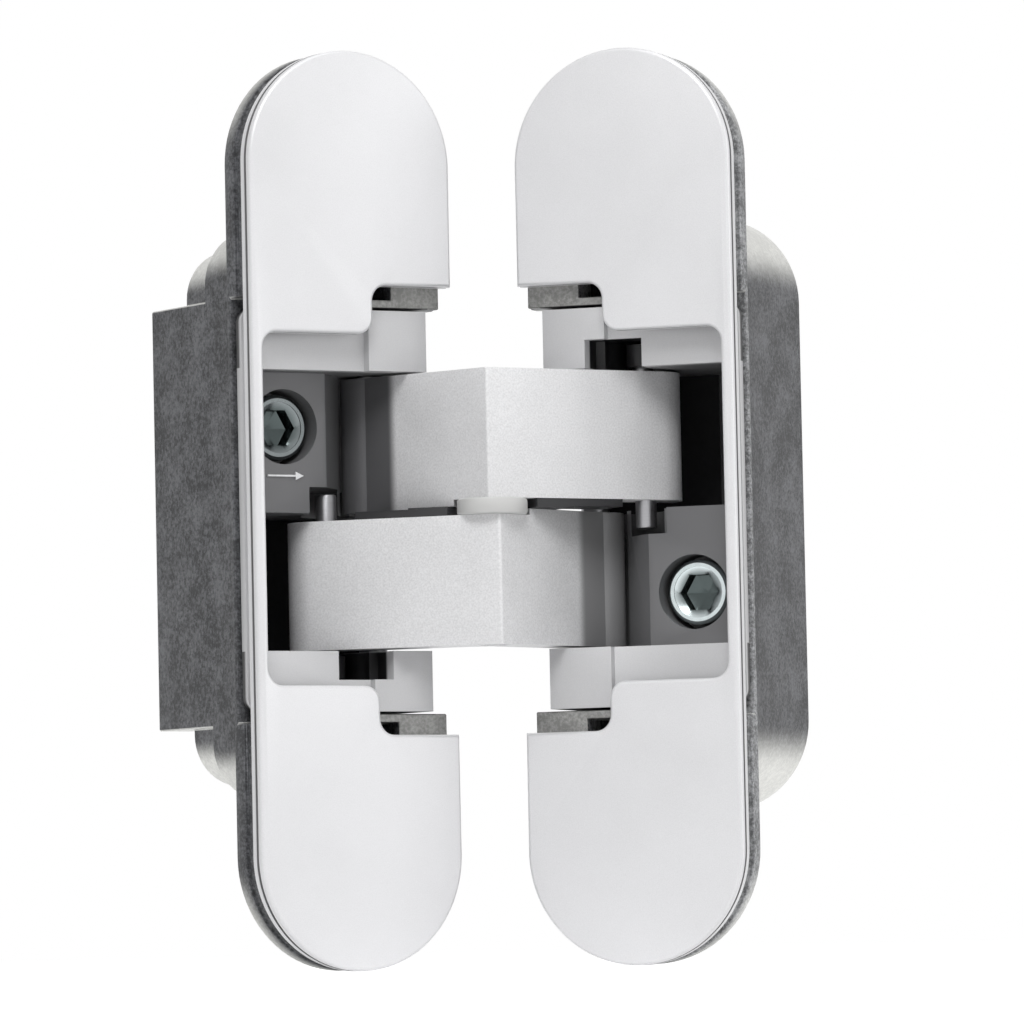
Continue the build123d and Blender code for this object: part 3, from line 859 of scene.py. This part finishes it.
class HINGE_OT_screws(Operator):
    """Makes the two adjusting screws and the arrow below the frame's screw"""

    bl_idname = "hinge.screws"
    bl_label = "Adjusting Screws"

    def execute(self, context):
        settings = context.scene.hinge_screws
        metal = context.scene.hinge_metal
        tints = {"frame": metal.frame_screw_tint, "door": metal.door_screw_tint}
        head_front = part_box("frame_adjust_screw")[0].y
        for half, stand in HALVES.items():
            graph = new_graph(f"{half}_zinc_screw")
            socket = graph.rise(graph.own(stand, "Y"), head_front, head_front + 2 * settings.dish)
            zinc = bright_zinc(graph, tints[half], socket, metal.socket_tint)
            node = f"{half}_adjust_screw"
            piece = new_piece(f"{node}_turned", turned(screw_mesh(settings), stand), zinc, node_body[node])
            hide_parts(node)
        finish = bpy.data.materials["frame_satin_cover"]
        arrow = new_piece("frame_carrier_arrow", mark_mesh(settings), finish, "frame_carrier")
        return {"FINISHED"}


class HINGE_OT_fittings(Operator):
    """Gives pins, clips, bushes, sleeves and the washer their finish"""

    bl_idname = "hinge.fittings"
    bl_label = "Pins and Bushes"

    def execute(self, context):
        settings = context.scene.hinge_metal
        steel = ground_steel(new_graph("pin_steel"), settings.steel_tint)
        pale_nylon = moulded_nylon(new_graph("pale_nylon"), settings.nylon_tint)
        # The sleeves and bushes take the near-black nylon, which is painted shade
        finishes = {"pin_steel": steel, "nylon": bpy.data.materials["nylon_painted_shade"]}
        rounded = {
            "centre_washer": pale_nylon,
            "upper_slide_pin": steel,
            "lower_slide_pin": steel,
            "centre_pin": steel,
        }
        slots = {subpart["node"]: subpart["material_slot"] for subpart in frame["record"]["subparts"]}
        for node, finish in rounded.items():
            dress(node, finish, settings.pin_edge)
        for node, slot in slots.items():
            if slot in finishes and node not in rounded:
                solid = frame["nodes"][node].data
                solid.materials.clear()
                solid.materials.append(finishes[slot])
        return {"FINISHED"}


def look_from(azimuth, elevation):
    """The direction from the hinge to a viewer."""
    return Vector((sin(azimuth) * cos(elevation), -cos(azimuth) * cos(elevation), sin(elevation)))


def add_camera(settings, target):
    """Puts the camera at the photograph's viewing angle."""
    data = bpy.data.cameras.new("camera")
    data.lens = settings.lens
    data.sensor_width = 36.0
    data.clip_start = 0.01
    camera = bpy.data.objects.new("camera", data)
    outward = look_from(settings.azimuth, settings.elevation)
    turn = (-outward).to_track_quat("-Z", "Y").to_matrix().to_4x4()
    place = Matrix.Translation(target + outward * settings.distance)
    camera.matrix_world = place @ turn @ Matrix.Rotation(settings.roll, 4, "Z")
    bpy.context.scene.collection.objects.link(camera)
    bpy.context.scene.camera = camera


def add_lamp(name, target, azimuth, elevation, distance, size, power):
    """A soft square lamp that points at the hinge."""
    data = bpy.data.lights.new(name, "AREA")
    data.size = size
    data.energy = power
    lamp = bpy.data.objects.new(name, data)
    outward = look_from(radians(azimuth), radians(elevation))
    turn = outward.to_track_quat("Z", "Y").to_matrix().to_4x4()
    lamp.matrix_world = Matrix.Translation(target + outward * distance) @ turn
    bpy.context.scene.collection.objects.link(lamp)


def add_sky(ambient):
    """A plain sky: soft light on the hinge, white behind it."""
    world = bpy.data.worlds.new("studio")
    graph = Graph(world)
    light, white = (
        graph.node("ShaderNodeBackground", {}, {"Color": (1.0, 1.0, 1.0), "Strength": strength})
        for strength in (ambient, 1.0)
    )
    graph.node("ShaderNodeOutputWorld", {}, {"Surface": graph.to_viewer(light, white)})
    bpy.context.scene.world = world


def add_floor(settings, height):
    """A wide pale floor under the hinge."""
    graph = new_graph("studio_floor")
    paint = graph.node("ShaderNodeBsdfDiffuse", {}, {"Color": settings.floor_tint})
    lit = graph.node("ShaderNodeEmission", {}, {"Strength": settings.floor_glow})
    seen = graph.node("ShaderNodeAddShader", {}, {0: paint, 1: lit})
    graph.node("ShaderNodeOutputMaterial", {}, {"Surface": graph.to_viewer(paint, seen)})
    bm = bmesh.new()
    bmesh.ops.create_grid(bm, x_segments=1, y_segments=1, size=settings.floor_half)
    bmesh.ops.translate(bm, verts=bm.verts, vec=(0.0, 0.0, height))
    mesh = bpy.data.meshes.new("floor")
    bm.to_mesh(mesh)
    bm.free()
    mesh.materials.append(graph.owner)
    floor = bpy.data.objects.new("floor", mesh)
    bpy.context.scene.collection.objects.link(floor)


class HINGE_OT_stage(Operator):
    """Sets the floor, the light and the camera"""

    bl_idname = "hinge.stage"
    bl_label = "Stage"

    def execute(self, context):
        settings = context.scene.hinge_stage
        low, high = (Vector(corner) for corner in cad_bounds)
        target = (low + high) / 2
        add_floor(settings, low.z - settings.floor_gap)
        add_sky(settings.ambient)
        add_lamp("key_lamp", target, azimuth=-34, elevation=44, distance=0.9, size=0.4, power=4.2)
        add_lamp("fill_lamp", target, azimuth=52, elevation=10, distance=0.9, size=0.6, power=1.8)
        add_lamp("top_lamp", target, azimuth=20, elevation=78, distance=0.8, size=0.6, power=1.2)
        add_camera(settings, target)
        context.scene.view_settings.view_transform = "Standard"
        return {"FINISHED"}


class HINGE_PT_panel(Panel):
    """Lists the hinge's operators"""

    bl_idname = "HINGE_PT_panel"
    bl_label = "Hinge"
    bl_space_type = "VIEW_3D"
    bl_region_type = "UI"
    bl_category = "Hinge"

    def draw(self, context):
        for operator in operators:
            self.layout.operator(operator.bl_idname)


settings_groups = {
    "hinge_covers": HingeCoverSettings,
    "hinge_metal": HingeMetalSettings,
    "hinge_pads": HingeShadePadSettings,
    "hinge_screws": HingeScrewSettings,
    "hinge_stage": HingeStageSettings,
}
operators = (
    HINGE_OT_covers,
    HINGE_OT_castings,
    HINGE_OT_carriers,
    HINGE_OT_arms,
    HINGE_OT_shade_pads,
    HINGE_OT_screws,
    HINGE_OT_fittings,
    HINGE_OT_stage,
)


def register():
    for group in (*settings_groups.values(), *operators, HINGE_PT_panel):
        bpy.utils.register_class(group)
    for name, group in settings_groups.items():
        setattr(bpy.types.Scene, name, PointerProperty(type=group))


def unregister():
    for name in settings_groups:
        delattr(bpy.types.Scene, name)
    for group in (HINGE_PT_panel, *reversed(operators), *settings_groups.values()):
        bpy.utils.unregister_class(group)


def main():
    register()
    bpy.ops.hinge.covers()
    bpy.ops.hinge.castings()
    bpy.ops.hinge.carriers()
    bpy.ops.hinge.arms()
    bpy.ops.hinge.pads()
    bpy.ops.hinge.screws()
    bpy.ops.hinge.fittings()
    bpy.ops.hinge.stage()


if __name__ == "__main__":
    main()
